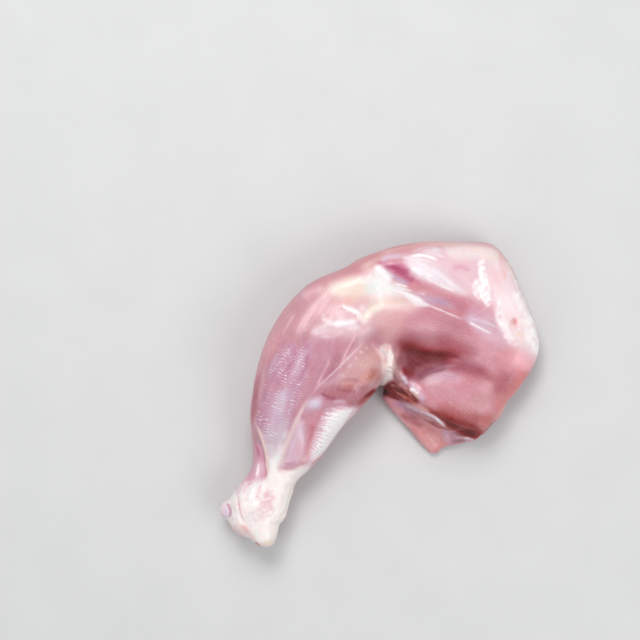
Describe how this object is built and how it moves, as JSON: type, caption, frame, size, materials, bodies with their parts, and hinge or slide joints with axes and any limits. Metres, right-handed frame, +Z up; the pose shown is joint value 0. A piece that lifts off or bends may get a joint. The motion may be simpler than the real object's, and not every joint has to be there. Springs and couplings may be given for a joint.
{
  "type": "raw chicken leg",
  "caption": "Raw skinless chicken leg, drumstick and thigh joined at a bent knee, lying flat: a solid piece with muscle lobes, a hollow behind the knee and a thin flap.",
  "frame": {"origin": "on the surface that carries the leg, under the middle of its bounding box", "axes": "+Z up, away from the surface the leg lies on; +X along the thigh from the knee to the hip end; the drumstick runs from the knee towards -Y and a little towards -X"},
  "size_m": [0.1576, 0.1506, 0.04],
  "materials": {
    "flesh": "moist raw poultry: pink muscle with white silverskin, cream fat and pale tendons, wet sheen"
  },
  "bodies": {
    "root": {"chicken_leg": "flesh"}
  },
  "joints": []
}
